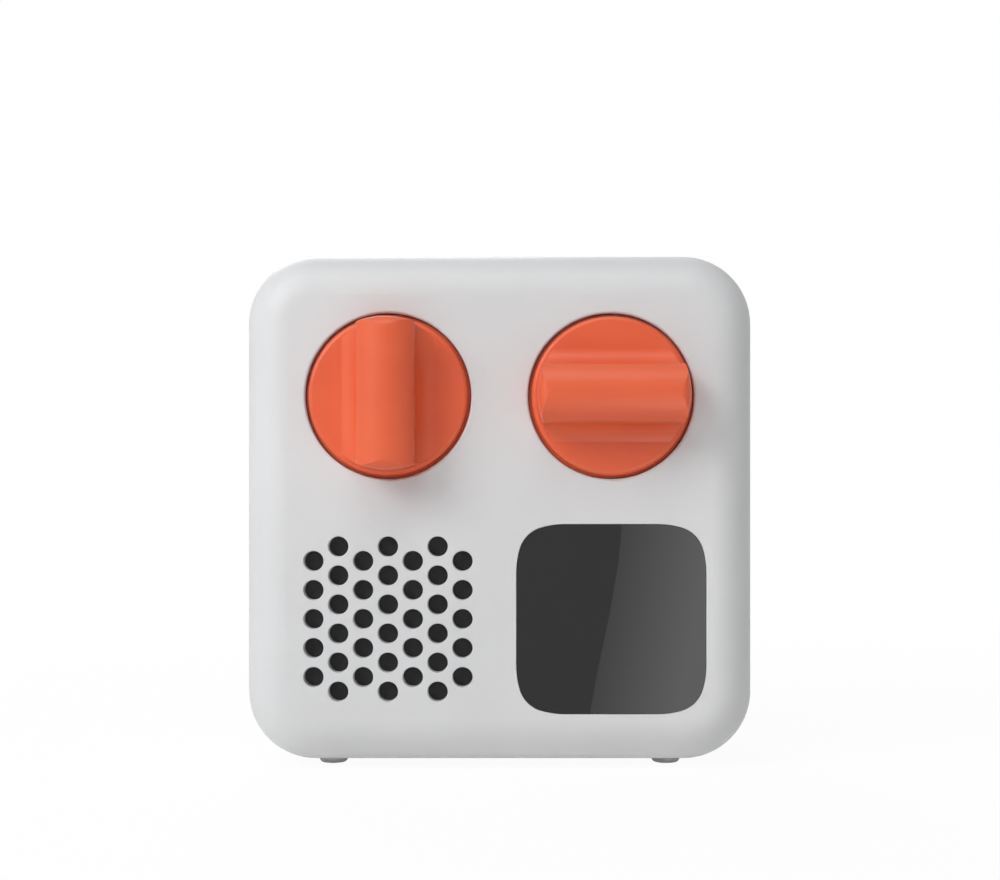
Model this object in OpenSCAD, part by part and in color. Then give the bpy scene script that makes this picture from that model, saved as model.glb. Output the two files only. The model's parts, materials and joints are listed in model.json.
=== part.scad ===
// Audio story player for small children: a pocket-size box with two push-and-turn
// knobs, a round-hole speaker grille, a pixel display and a slot on top for story cards.
// The front faces -Y and +Z is up. The origin is on the table, under the middle of the box.
// Most parts are drawn in the frame of the front face: x to the right, y up from the
// middle of the face, and depths counted from the face into the body.

/* [Body] */
// Radius of the four corners, seen from the front
corner_r = 9.5; // [8.5:0.25:10.5]
// Radius that rounds the front and rear edges
edge_r = 6; // [4:0.25:6.5]
// Thickness of the walls
wall = 2; // [1.8:0.1:2.2]
// Flat land between the display or a knob and the rounded edge of the face
face_land = 0.9; // [0.8:0.1:3]
// Gap between a screw post and the wall or the card pocket beside it
post_gap = 0.2; // [0.2:0.05:0.6]
// Depth of the seam behind the main board
seam_behind = 1.8; // [1.6:0.1:2.4]
// Room behind the card reader, for the ribs that press on it
rib_h = 3; // [2:0.25:5]
// Height of the rear shell's lip, which slides into the front shell
lip_h = 1.5; // [1:0.1:1.6]
// Thickness of that lip
lip_t = 0.9; // [0.7:0.05:1.1]
// Gap round the lip
lip_gap = 0.1; // [0.05:0.05:0.2]
// Width of the fine groove along the seam
groove = 0.3; // [0.2:0.05:0.4]

/* [Face layout] */
// Distance of each knob, the grille and the display from the face's middle, sideways
cell_x = 15.2; // [13.8:0.1:18]
// The same distance, up and down
cell_z = 15.2; // [13.8:0.1:18]

/* [Feet] */
// Diameter of a foot
foot_d = 4; // [3.6:0.2:6]
// Height of the feet below the body
foot_h = 1; // [0.6:0.1:2]
// Depth of the shallow seat that each foot is glued into
foot_seat = 0.6; // [0.4:0.1:0.8]
// Gap round a foot in its seat
foot_gap = 0.05; // [0.02:0.01:0.1]
// Distance of the feet from the middle, sideways
foot_x = 23.5; // [20:0.5:24]
// Distance of the feet from the front and rear faces
foot_inset = 9; // [8.75:0.25:10]

/* [Knobs] */
// Diameter of a knob
knob_d = 21.7; // [20.5:0.1:22]
// Gap between a knob and its well
knob_gap = 0.46; // [0.3:0.02:0.5]
// Depth of the well that a knob sits in
well_depth = 5.4; // [5.2:0.1:6]
// Thickness of the well's wall and floor
well_wall = 1.4; // [1.2:0.1:1.6]
// Rounding of the well's mouth
well_mouth_r = 0.35; // [0.2:0.05:0.5]
// How far the knob's flat part stands proud of the face
knob_proud = 0.5; // [0.4:0.05:0.8]
// Height of the grip bar above the flat part
bar_h = 7.5; // [5:0.25:8]
// Width of the grip bar
bar_w = 7.8; // [6.5:0.1:9]
// Rise of the bar's crowned top between its long edges
bar_crown_h = 1.9; // [0.8:0.1:2.2]
// Radius of the hollow where the bar runs into the flat part
bar_root_r = 2.8; // [1:0.1:3]
// Bevel along the bar's long edges
bar_bevel = 0.25; // [0.15:0.05:0.4]
// Rounding of the bar's two ends
bar_end_r = 1.6; // [0.5:0.1:1.7]
// Distance of the bar's ends from the knob's outer edge
bar_inset = 0.7; // [0.2:0.05:0.8]
// Rounding of the knob's rim
rim_r = 0.6; // [0.2:0.05:0.8]
// Gap round the dust lip at the middle of the skirt
lip_clearance = 0.12; // [0.1:0.01:0.2]
// Depth of that lip below the knob's flat part
dust_lip_depth = 1.6; // [1.2:0.1:2.5]
// Thickness of that lip
dust_lip_t = 0.9; // [0.6:0.1:1.2]
// Thickness of the knob's skirt and top
knob_wall = 1.5; // [1.2:0.1:1.8]
// Diameter of the hub inside the knob
hub_d = 9; // [8.5:0.1:10]
// Travel of a knob when it is pushed
knob_travel = 0.5; // [0.3:0.05:0.55]
// Gap that is left under a pushed knob
push_gap = 0.3; // [0.2:0.05:0.4]

/* [Rotary encoders] */
// Diameter of the encoder's shaft
shaft_d = 6; // [5.8:0.1:6.2]
// Distance from the shaft's axis to its flat
shaft_flat = 1.5; // [1.2:0.1:2]
// How far the shaft reaches into the bar, above the knob's flat part
shaft_reach = 3; // [2:0.25:3.5]
// Running gap round the shaft
shaft_gap = 0.04; // [0.02:0.01:0.08]
// Diameter of the threaded bushing
bushing_d = 7.2; // [7:0.1:7.6]
// Width of the encoder's square case
encoder_w = 11.7; // [11.4:0.1:12.4]
// Thickness of the encoder's metal front plate
encoder_plate = 1; // [0.8:0.1:1.2]
// Thickness of the encoder's plastic base
encoder_base = 3.8; // [3.7:0.1:4.4]
// Width of the bushing's nut, across its flats
nut_w = 10; // [9.5:0.1:11]
// Thickness of that nut
nut_t = 1.7; // [1.4:0.1:1.8]
// Diameter of the turning contact plate
rotor_d = 9.6; // [9.4:0.1:10]
// Number of click notches round that plate
detents = 24; // [12:2:30]
// Diameter of the click dome
dome_d = 5; // [4.6:0.1:5.4]
// Thickness of the click dome's sheet
dome_t = 0.12; // [0.1:0.01:0.15]

/* [Grille and speaker] */
// Diameter of a grille hole
hole_d = 2.74; // [2:0.02:2.8]
// Distance between the grille's columns
hole_pitch_x = 3.385; // [3.3:0.005:3.5]
// Distance between the holes of a column
hole_pitch_z = 3.955; // [3.8:0.005:4]
// Number of columns, an odd number
hole_columns = 7; // [3:2:7]
// Number of holes in the middle column
hole_rows = 6; // [3:1:6]
// Bevel round the mouth of each hole
hole_bevel = 0.1; // [0.1:0.05:0.25]
// Thickness of the cloth behind the grille
cloth_t = 0.3; // [0.2:0.05:0.4]
// Thickness of the foam ring in front of the speaker
ring_t = 1.4; // [1.2:0.1:1.6]
// Width of the speaker's square flange
flange_w = 26; // [25.4:0.1:26.1]
// Corner radius of the flange
flange_r = 4; // [3.5:0.1:4.5]
// Thickness of the flange
flange_t = 1.2; // [1:0.1:1.5]
// Depth of the basket, behind the front of the flange
basket_depth = 4.4; // [4:0.1:4.8]
// Width of the rim between the basket's opening and the flange's edge
basket_rim = 1; // [0.8:0.1:1.4]
// Thickness of the basket's sheet
basket_sheet = 0.7; // [0.5:0.1:0.9]
// Width of the soft surround between the basket and the cone
surround_w = 2.5; // [2:0.1:3]
// Diameter of the voice coil
coil_d = 8.4; // [8:0.1:9]
// Diameter of the magnet's steel pot
pot_d = 13; // [12.6:0.1:13.4]
// Depth of that pot
pot_h = 5; // [4.6:0.1:5.4]
// Travel of the cone, each way
cone_travel = 0.4; // [0.2:0.05:0.5]

/* [Display] */
// Width of the display's square cover lens
lens_w = 25.8; // [24:0.1:26]
// Radius at the middle of the lens's corners
lens_r = 4.2; // [3:0.1:5]
// Wider radius on either side of that arc
lens_wide_r = 11.7; // [8:0.1:14]
// Thickness of the lens
lens_t = 1; // [0.8:0.1:1.2]
// Gap round the lens
lens_gap = 0.06; // [0.04:0.01:0.1]
// Width of the ledge that the lens is glued to
lens_ledge = 1.9; // [1.6:0.1:2.4]
// Thickness of the foam frame behind the window
frame_t = 1.2; // [1:0.1:1.4]
// How far the foam frame and the pixel board stand inside the lens's edge
frame_inset = 0.3; // [0.2:0.05:0.6]
// Thickness of the block of lamps on the pixel board
pixel_block_t = 2.4; // [2:0.1:2.8]
// Number of pixels along each side
pixels = 16; // [8:1:16]

/* [Boards and battery] */
// Thickness of the circuit boards
board_t = 1.2; // [1:0.1:1.6]
// Gap between the main board and the walls
board_gap = 0.6; // [0.5:0.05:0.8]
// Height of the connector between the control board and the main board
header_h = 2.2; // [2:0.1:2.6]
// Width of that connector
header_w = 14; // [10:0.5:16]
// Width of the display's connector
display_header_w = 18; // [12:0.5:20]
// Thickness of both connectors
header_t = 2.5; // [2:0.1:3]
// Width of the radio module
radio_w = 16; // [12:0.5:16.5]
// Height of the radio module
radio_h = 18; // [14:0.5:19]
// Thickness of the radio module, with its shield
radio_t = 2.8; // [2.4:0.1:3.2]
// Width of the main processor
processor_w = 8; // [6:0.5:10]
// Thickness of the main processor
processor_t = 1; // [0.8:0.1:1.4]
// Thickness of the foam between the main board and the battery
foam_t = 0.6; // [0.4:0.1:1]
// Width of the battery
battery_w = 38; // [30:1:42]
// Height of the battery
battery_l = 46; // [36:1:48]
// Thickness of the battery
battery_t = 5.8; // [5.4:0.1:6.2]
// Margin of the foam and the tape, inside the battery's edge
pad_margin = 4; // [2:0.5:8]
// Thickness of the tape between the battery and the card pocket
tape_t = 0.4; // [0.2:0.1:0.6]

/* [Card slot] */
// Width of the slot: a 54 mm card and its play
card_w = 54.8; // [54.4:0.1:55]
// Gap for the card's thickness
card_gap = 1.6; // [1.2:0.1:1.8]
// Bevel along the slot's mouth
slot_bevel = 0.8; // [0.4:0.1:1]
// Depth of the card pocket below the top wall
pocket_h = 48; // [40:1:50]
// Thickness of the pocket's front and rear walls
pocket_wall = 1.2; // [1:0.1:1.3]
// Thickness of the pocket's side walls
pocket_side = 0.8; // [0.6:0.1:0.8]
// Width and height of the card reader's antenna board
reader_w = 40; // [36:1:44]
// Thickness of the antenna board
reader_t = 1; // [0.8:0.1:1.2]

/* [Ports and power button] */
// Height of the power button above the middle
button_z = 13; // [12:0.25:14]
// Diameter of the power button
button_d = 6.4; // [5.6:0.1:7]
// Travel of the power button
button_travel = 0.3; // [0.2:0.05:0.4]
// Gap round the power button
button_gap = 0.15; // [0.1:0.05:0.25]
// Height of the charging port above the middle
usb_z = -1; // [-1.5:0.25:0]
// Width of the charging port's shell
usb_w = 8.94; // [8.5:0.02:9.2]
// Thickness of the charging port's shell
usb_h = 3.26; // [3:0.02:3.4]
// Depth of the charging port's shell
usb_l = 7.35; // [7:0.05:8]
// How far the ports sit behind the side's surface
port_recess = 0.4; // [0.2:0.1:0.8]
// Height of the headphone socket above the middle
jack_z = -13; // [-13.5:0.25:-12]
// Diameter of the headphone socket's bore
jack_bore_d = 3.6; // [3.55:0.05:3.8]
// Length of the headphone socket's bore
jack_bore_l = 14; // [13.5:0.25:15]
// Width and thickness of the headphone socket
jack_w = 6; // [5.6:0.1:6.4]
// Diameter of the socket's nose
jack_nose_d = 5; // [4.8:0.1:5.4]

/* [Screws] */
// Diameter of the case and board screws
screw_d = 2; // [1.8:0.1:2.1]
// Diameter of the case screws' heads
screw_head_d = 3.6; // [3.4:0.1:3.8]
// Length of the case screws
case_screw_l = 16; // [14:0.5:17]
// How far the board screws reach into their posts
board_screw_l = 5; // [4:0.25:5.5]
// Diameter of the screw posts
post_d = 4; // [3.8:0.1:4.1]
// Distance of the case screws from the middle, up and down
post_z = 25; // [24.5:0.25:25.5]
// Depth of the recess over each case screw
screw_recess = 3.5; // [3:0.25:4]
// Diameter of the speaker's screws
small_screw_d = 1.4; // [1.2:0.1:1.5]

/* [Hidden] */
$fn = 72;
cut = 1;              // how far a cutting shape runs past what it cuts
overlap = 0.03;       // how far a rounding dips into the face it runs out on
screw_gap = 0.02;     // gap between a screw and its hole
press_gap = 0.02;     // gap between a shaft and its knob
rotor_gap = 0.06;     // running gap round the encoder's rotor
head_gap = 0.3;       // gap round a screw's head in its recess
knob_rise = knob_proud + bar_h;
well_r = knob_d / 2 + knob_gap;
knob_r = knob_d / 2;

// depths below the face, from front to rear
encoder_depth = well_depth + well_wall;
base_depth = encoder_depth + encoder_plate;
control_depth = base_depth + encoder_base;
main_depth = control_depth + board_t + header_h;
main_back = main_depth + board_t;
battery_depth = main_back + foam_t;
tape_depth = battery_depth + battery_t;
pocket_depth = tape_depth + tape_t;
card_depth = pocket_depth + pocket_wall + card_gap / 2;
reader_depth = pocket_depth + 2 * pocket_wall + card_gap;
reader_back = reader_depth + reader_t;
rear_depth = reader_back + rib_h;
body_d = rear_depth + wall;
front_depth = main_back + seam_behind;
screw_seat_depth = body_d - screw_recess;
bushing_depth = well_depth - nut_t - 0.5;
port_depth = main_depth - usb_h / 2;
jack_body_l = jack_bore_l + 1 - wall;
pocket_gap = 0.1;
button_flange_d = button_d + 1.6;
button_flange_t = 1;
switch_inset = 2.5;

// depths inside the encoders
collar_t = 0.5;
collar_depth = base_depth + 0.05;
spring_t = 0.15;
rotor_depth = base_depth + 0.6;
pocket_floor = control_depth - 1.2;
dome_rise = knob_travel + dome_t;
dome_seat = pocket_floor + dome_rise + 0.05;
drive_r = shaft_d / 3;
drive_flat = shaft_d / 4;

// the speaker's own depths
ring_depth = wall + cloth_t;
flange_depth = ring_depth + ring_t;
pot_depth = flange_depth + basket_depth;
ledge_depth = flange_depth + 0.6;
basket_mouth_d = flange_w - 2 * basket_rim;
cone_d = basket_mouth_d - 2 * surround_w;
window_w = lens_w - 2 * lens_ledge;
pixel_board_w = lens_w - 2 * frame_inset;
coil_r = coil_d / 2;
pixel_depth = wall + frame_t;
pixel_board_depth = pixel_depth + pixel_block_t;

// the face is as wide as its cells and edges, and at least as wide as the card
// pocket between two screw posts
side_gap = post_gap + 0.4;
face_x = cell_x + max(lens_w / 2, well_r) + face_land + edge_r;
face_z = cell_z + max(lens_w / 2, well_r) + face_land + edge_r;
pocket_x = card_w / 2 + pocket_side + post_gap + post_d + side_gap + wall;
body_w = 2 * max(face_x, pocket_x);
body_h = 2 * face_z;
front_y = (knob_rise - body_d) / 2;
mid_z = foot_h + body_h / 2;

// places of the screw posts
post_x = body_w / 2 - wall - side_gap - post_d / 2;
board_post_z = body_h / 2 - 9;
speaker_screw = flange_w / 2 - 1.8;
boss_d = small_screw_d + 1.6;
board_w = body_w - 2 * (wall + board_gap);
board_h = body_h - 2 * (wall + board_gap);
board_r = corner_r - wall;

// ---- frames ----------------------------------------------------------------

// The frame of the front face: z points out of it, towards the listener.
module on_face(x = 0, y = 0) {
  translate([x, front_y, mid_z + y]) rotate([90, 0, 0]) children();
}

// A flat shape made solid between two depths below the face.
module slab(from, to) {
  translate([0, 0, -to]) linear_extrude(to - from) children();
}

// The frame of the right side: z points out of it, x runs into the depth, y up.
module on_right(y, depth) {
  on_face(body_w / 2, y) translate([0, 0, -depth]) rotate([0, 90, 0]) children();
}

module corners(x, y) {
  for (sx = [-1, 1], sy = [-1, 1]) translate([sx * x, sy * y]) children();
}

// ---- shapes that repeat ------------------------------------------------------

module rounded_rect(w, h, r) {
  square([w - 2 * r, h], center = true);
  square([w, h - 2 * r], center = true);
  corners(w / 2 - r, h / 2 - r) circle(r);
}

// Part of a disc between two directions.
module sector(r, from, to) intersection() {
  circle(r);
  polygon([[0, 0], 1.5 * r * from, 1.5 * r * to]);
}

// A square whose corners turn through a wide arc, a tight one and a wide one. The arcs
// meet in the direction of a 7-24-25 triangle, so that their ends have round coordinates.
module soft_square(w, tight_r, wide_r) {
  turn = [24, 7] / 25;
  side = w / 2;
  step = wide_r - tight_r;
  start = side - wide_r + step * (turn.x - turn.y);
  centre = side - wide_r + step * turn.x;
  square([w, 2 * start], center = true);
  square([2 * start, w], center = true);
  for (q = [0 : 3]) rotate(90 * q) {
    translate([centre, centre]) sector(tight_r, turn, [turn.y, turn.x]);
    translate([side - wide_r, start]) sector(wide_r, [1, 0], turn);
    translate([side - wide_r, -start]) sector(wide_r, [turn.x, -turn.y], [1, 0]);
  }
}

module lens_outline(gap) {
  soft_square(lens_w + 2 * gap, lens_r + gap, lens_wide_r + gap);
}

// Section from a corner's axis outwards, with its upper outer edge rounded.
module rim_section(corner, edge, depth) {
  intersection() {
    translate([0, -depth]) square([corner, depth]);
    union() {
      translate([0, -depth]) square([corner, depth - edge]);
      translate([0, -depth]) square([corner - edge, depth]);
      translate([corner - edge, -edge]) circle(edge);
    }
  }
}

// A rounded block whose upper edge is rounded too: straight rims and turned corners.
module pillow(w, h, corner, edge, depth) {
  run = [w - 2 * corner, h - 2 * corner];
  translate([-run.x / 2, -run.y / 2, -depth]) cube([run.x, run.y, depth]);
  for (turn = [0 : 3]) {
    out = turn % 2 == 0 ? run.x / 2 : run.y / 2;
    along = turn % 2 == 0 ? run.y : run.x;
    rotate(90 * turn) {
      translate([out, along / 2, 0])
        rotate([90, 0, 0]) linear_extrude(along) rim_section(corner, edge, depth);
      translate([out, along / 2, 0])
        rotate_extrude(angle = 90) rim_section(corner, edge, depth);
    }
  }
}

// A D-shaped section: a circle with one flat.
module d_section(r, flat) {
  difference() {
    circle(r);
    translate([flat, -r]) square([r, 2 * r]);
  }
}

// A circle with two flats.
module double_d(r, flat) {
  intersection() {
    circle(r);
    square([2 * flat, 2 * r], center = true);
  }
}

// ---- shells ------------------------------------------------------------------

module outer_front() pillow(body_w, body_h, corner_r, edge_r, front_depth);

module outer_rear() {
  translate([0, 0, -body_d]) mirror([0, 0, 1])
    pillow(body_w, body_h, corner_r, edge_r, body_d - front_depth);
}

module cavity(depth) {
  pillow(body_w - 2 * wall, body_h - 2 * wall, corner_r - wall, edge_r - wall, depth);
}

// The outline of the walls, drawn in by a distance.
module wall_outline(inset) {
  rounded_rect(body_w - 2 * inset, body_h - 2 * inset, corner_r - inset);
}

// The fine groove where the two shells meet, half of it in each.
module seam_groove() slab(front_depth - groove / 2, front_depth + groove / 2) difference() {
  square([body_w + 2, body_h + 2], center = true);
  wall_outline(groove / 2);
}

module grille_places() {
  for (c = [0 : hole_columns - 1]) {
    from_middle = c - (hole_columns - 1) / 2;
    count = hole_rows - abs(from_middle) % 2;
    for (r = [0 : count - 1])
      translate([from_middle * hole_pitch_x, (r - (count - 1) / 2) * hole_pitch_z]) children();
  }
}

module grille_holes() {
  grille_places() translate([0, 0, -wall - cut]) cylinder(d = hole_d, h = wall + 2 * cut);
  grille_places() translate([0, 0, -hole_bevel])
    cylinder(d1 = hole_d, d2 = hole_d + 2 * hole_bevel, h = hole_bevel);
}

// The round well of a knob, open to the front, with its rounded mouth.
module well_cut() {
  translate([0, 0, -well_depth]) cylinder(r = well_r, h = well_depth + cut);
  rotate_extrude() difference() {
    translate([0, -well_mouth_r]) square([well_r + well_mouth_r, well_mouth_r + cut]);
    translate([well_r + well_mouth_r, -well_mouth_r]) circle(well_mouth_r);
  }
  translate([0, 0, -encoder_depth - cut]) cylinder(d = bushing_d + 0.2, h = well_wall + 2 * cut);
}

module front_posts() {
  start = wall / 2;
  corners(post_x, post_z) slab(start, front_depth) circle(d = post_d);
  for (s = [-1, 1]) translate([0, s * board_post_z]) slab(start, main_depth) circle(d = post_d);
  for (s = [-1, 1]) translate([s * cell_x, cell_z]) slab(start, encoder_depth) circle(well_r + well_wall);
  translate([-cell_x, -cell_z]) corners(speaker_screw, speaker_screw)
    slab(start, flange_depth) circle(d = boss_d);
}

module front_post_holes() {
  corners(post_x, post_z) slab(front_depth - 7, front_depth + cut) circle(d = screw_d + 2 * screw_gap);
  for (s = [-1, 1]) translate([0, s * board_post_z])
    slab(main_depth - board_screw_l - 1, main_depth + cut) circle(d = screw_d + 2 * screw_gap);
  translate([-cell_x, -cell_z]) corners(speaker_screw, speaker_screw)
    slab(wall + 0.2, flange_depth + cut) circle(d = small_screw_d + 2 * screw_gap);
}

module port_cuts() {
  through = wall + 2 * cut;
  on_right(button_z, port_depth) translate([0, 0, -wall - cut])
    cylinder(d = button_d + 2 * button_gap, h = through);
  on_right(usb_z, port_depth) translate([0, 0, -wall - cut])
    linear_extrude(through) rounded_rect(usb_h + 0.3, usb_w + 0.3, usb_h / 2);
  on_right(jack_z, port_depth) translate([0, 0, -wall - cut])
    cylinder(d = jack_nose_d + 0.2, h = through);
}

module foot_seats(y) {
  for (s = [-1, 1]) translate([s * foot_x, y, foot_h - cut])
    cylinder(d = foot_d + 2 * foot_gap, h = cut + foot_seat);
}

module front_shell() color("gainsboro") {
  difference() {
    on_face() union() {
      difference() {
        outer_front();
        translate([0, 0, -wall]) cavity(front_depth - wall + cut);
      }
      intersection() {
        front_posts();
        outer_front();
      }
    }
    on_face() {
      slab(front_depth - lip_h - lip_gap, front_depth + cut) difference() {
        wall_outline(wall - lip_t - lip_gap);
        wall_outline(wall + 0.2);
      }
      seam_groove();
      translate([cell_x, -cell_z]) {
        slab(-cut, lens_t) lens_outline(lens_gap);
        slab(-cut, wall + cut) rounded_rect(window_w, window_w, 2);
      }
      translate([-cell_x, -cell_z]) grille_holes();
      for (s = [-1, 1]) translate([s * cell_x, cell_z]) well_cut();
      front_post_holes();
    }
    port_cuts();
    foot_seats(front_y + foot_inset);
  }
}

// The pockets and posts of the case screws, closed to the inside.
module rear_posts() {
  corners(post_x, post_z) {
    slab(front_depth, body_d) circle(d = post_d);
    slab(screw_seat_depth - 1.2, body_d) circle(d = screw_head_d + 2 * head_gap + 2);
  }
  for (s = [-1, 1]) translate([s * reader_w / 3, (body_h - pocket_h) / 2 - wall])
    slab(reader_back, body_d) square([1.2, reader_w], center = true);
}

module card_slot_cut() {
  half = card_gap / 2;
  translate([-card_w / 2, body_h / 2, -card_depth]) rotate([90, 0, 90])
    linear_extrude(card_w) polygon([
      [cut, half + slot_bevel], [0, half + slot_bevel], [-slot_bevel, half], [-wall - cut, half],
      [-wall - cut, -half], [-slot_bevel, -half], [0, -half - slot_bevel], [cut, -half - slot_bevel]]);
}

module rear_shell() color("gainsboro") {
  difference() {
    on_face() union() {
      difference() {
        outer_rear();
        translate([0, 0, -rear_depth]) mirror([0, 0, 1]) cavity(rear_depth - front_depth + cut);
      }
      difference() {
        slab(front_depth - lip_h, front_depth + 1) wall_outline(wall - lip_t);
        slab(front_depth - lip_h - cut, front_depth + 2) wall_outline(wall);
      }
      intersection() {
        rear_posts();
        outer_rear();
      }
    }
    on_face() {
      corners(post_x, post_z) {
        slab(front_depth - cut, body_d) circle(d = screw_d + 2 * screw_gap);
        slab(screw_seat_depth, body_d + cut) circle(d = screw_head_d + 2 * head_gap);
      }
      card_slot_cut();
      seam_groove();
    }
    port_cuts();
    foot_seats(front_y + body_d - foot_inset);
  }
}

module foot(x, y) color("darkgray") {
  round_r = foot_h * 0.6;
  translate([x, y, 0]) rotate_extrude() {
    translate([0, round_r]) square([foot_d / 2, foot_h + foot_seat - round_r]);
    square([foot_d / 2 - round_r, foot_h]);
    intersection() {
      translate([foot_d / 2 - round_r, round_r]) circle(round_r);
      square([foot_d / 2, foot_h]);
    }
  }
}

// ---- display -----------------------------------------------------------------

module on_display() on_face(cell_x, -cell_z) children();

module display_lens() color([0.1, 0.1, 0.11]) on_display()
  slab(0, lens_t) lens_outline(0);

module display_frame() color("dimgray") on_display() slab(wall, wall + frame_t) difference() {
  rounded_rect(pixel_board_w, pixel_board_w, 2);
  rounded_rect(window_w, window_w, 2);
}

module pixel_display() color("darkslategray") on_display() {
  pitch = (window_w - 1) / pixels;
  difference() {
    union() {
      slab(pixel_board_depth, pixel_board_depth + board_t) rounded_rect(pixel_board_w, pixel_board_w, 1);
      slab(pixel_depth, pixel_board_depth) square(window_w + 1, center = true);
    }
    for (k = [1 : pixels - 1], turn = [0, 90]) rotate(turn)
      translate([(k - pixels / 2) * pitch, 0]) slab(pixel_depth - cut, pixel_depth + 0.3)
        square([0.2, pixels * pitch], center = true);
  }
}

module display_header() color([0.15, 0.15, 0.15]) on_face(cell_x, -cell_z / 3)
  slab(pixel_board_depth + board_t, main_depth) square([display_header_w, header_t], center = true);

// ---- speaker -----------------------------------------------------------------

module on_speaker() on_face(-cell_x, -cell_z) children();

// The square outline of the speaker, with a hole round each of its screws.
module flange_outline(hole) {
  difference() {
    rounded_rect(flange_w, flange_w, flange_r);
    corners(speaker_screw, speaker_screw) circle(d = hole);
  }
}

module grille_cloth() color([0.13, 0.13, 0.13]) on_speaker()
  slab(wall, ring_depth) flange_outline(boss_d + 0.2);

module speaker_ring() color([0.2, 0.2, 0.2]) on_speaker()
  slab(ring_depth, flange_depth) difference() {
    flange_outline(boss_d + 0.2);
    circle(d = basket_mouth_d);
  }

// Half section of the basket, from the speaker's axis out.
module basket_section() {
  inner = basket_mouth_d / 2;
  seat = pot_d / 2;
  back = -flange_depth - flange_t;
  polygon([
    [seat - 1.5, -pot_depth], [seat - 1.5, -pot_depth + basket_sheet],
    [seat + 0.4, -pot_depth + basket_sheet], [inner - basket_sheet, back],
    [inner - basket_sheet, -ledge_depth], [inner, -ledge_depth], [inner, -flange_depth],
    [inner + 0.9, -flange_depth], [inner + 0.9, back],
    [inner, back], [seat + 0.4 + basket_sheet, -pot_depth]]);
}

module speaker_basket() color([0.25, 0.25, 0.27]) on_speaker() {
  difference() {
    union() {
      slab(flange_depth, flange_depth + flange_t) difference() {
        flange_outline(small_screw_d + 0.2);
        circle(basket_mouth_d / 2 + 0.5);
      }
      rotate_extrude() basket_section();
    }
    for (a = [45 : 90 : 359]) rotate(a) translate([(pot_d + basket_mouth_d) / 4, 0])
      slab(flange_depth + flange_t + 0.2, pot_depth - basket_sheet - 0.1) rounded_rect(5, 6, 1);
  }
}

module speaker_pot() color("silver") on_speaker() difference() {
  slab(pot_depth, pot_depth + pot_h) circle(d = pot_d);
  slab(pot_depth - cut, pot_depth + pot_h - 1.2) circle(coil_r + 0.4);
}

module speaker_magnet() color("gray") on_speaker()
  slab(pot_depth + 1.2, pot_depth + pot_h - 1.2) circle(coil_r - 0.7);

module speaker_pole_plate() color("silver") on_speaker()
  slab(pot_depth, pot_depth + 1.2) circle(coil_r - 0.5);

// A half roll of foam between the cone and the basket.
module speaker_surround() color([0.1, 0.1, 0.1]) on_speaker() rotate_extrude() {
  inner = cone_d / 2;
  outer = basket_mouth_d / 2;
  middle = (inner + outer) / 2;
  roll = (outer - inner) / 2 - 0.25;
  t = 0.25;
  translate([inner - 0.6, -ledge_depth]) square([middle - roll + t / 2 - inner + 0.6, t]);
  translate([middle + roll - t / 2, -ledge_depth]) square([outer - 0.05 - middle - roll + t / 2, t]);
  translate([middle, -ledge_depth]) intersection() {
    difference() {
      circle(roll);
      circle(roll - t);
    }
    translate([-roll - 1, 0]) square([2 * roll + 2, roll + 1]);
  }
}

// The cone's sheet, from the coil out to the surround.
module speaker_cone() color([0.16, 0.16, 0.16]) on_speaker() rotate_extrude() {
  front = -ledge_depth - 0.05;
  back = -pot_depth + 1.5;
  polygon([
    [coil_r + 0.1, back], [coil_r + 0.1, back + 0.4], [cone_d / 2 - 1.2, front],
    [cone_d / 2, front], [cone_d / 2, front - 0.35], [cone_d / 2 - 1.05, front - 0.35]]);
}

module dust_cap() color([0.12, 0.12, 0.12]) on_speaker() {
  r = coil_d * 0.9;
  edge = coil_r + 0.1;
  drop = sqrt(r * r - edge * edge);
  translate([0, 0, -pot_depth + 1.9 - drop]) intersection() {
    difference() {
      sphere(r);
      sphere(r - 0.3);
    }
    translate([0, 0, drop]) cylinder(r = edge, h = r);
  }
}

module voice_coil() color("peru") on_speaker()
  slab(pot_depth - 1.9, pot_depth + 2) difference() {
    circle(coil_r + 0.05);
    circle(coil_r - 0.25);
  }

// A cross recess for a screw's head.
module cross_recess(size) {
  square([size, size * 0.3], center = true);
  square([size * 0.3, size], center = true);
}

// A screw that points to the front: its head starts at a depth.
module screw(d, head_d, head_h, length, depth) {
  slab(depth - length, depth) circle(d = d);
  difference() {
    slab(depth, depth + head_h) circle(d = head_d);
    slab(depth + head_h * 0.4, depth + head_h + cut) cross_recess(head_d * 0.55);
  }
}

module speaker_screws() color("silver") on_speaker() corners(speaker_screw, speaker_screw)
  screw(small_screw_d, small_screw_d + 1, 0.7, flange_depth + flange_t - wall - 0.4, flange_depth + flange_t);

// ---- knobs and encoders ------------------------------------------------------

// Section across the grip bar: crowned top, bevelled long edges, hollow roots.
module bar_section() {
  half = bar_w / 2;
  crown_r = (half * half + bar_crown_h * bar_crown_h) / (2 * bar_crown_h);
  side_z = knob_rise - bar_crown_h - bar_bevel;
  bevel_rise = bar_crown_h + 4 * bar_bevel;
  bevel_run = bevel_rise / tan(45 + asin(half / crown_r) / 2);
  root_z = knob_proud + bar_root_r - overlap;
  intersection() {
    translate([0, knob_rise - crown_r]) circle(crown_r);
    polygon([[-half, 0], [half, 0], [half, side_z], [half - bevel_run, side_z + bevel_rise],
      [bevel_run - half, side_z + bevel_rise], [-half, side_z]]);
  }
  for (s = [-1, 1]) difference() {
    translate([s > 0 ? half - 0.5 : -half - bar_root_r, 0]) square([bar_root_r + 0.5, root_z]);
    translate([s * (half + bar_root_r), root_z]) circle(bar_root_r);
  }
}

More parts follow.
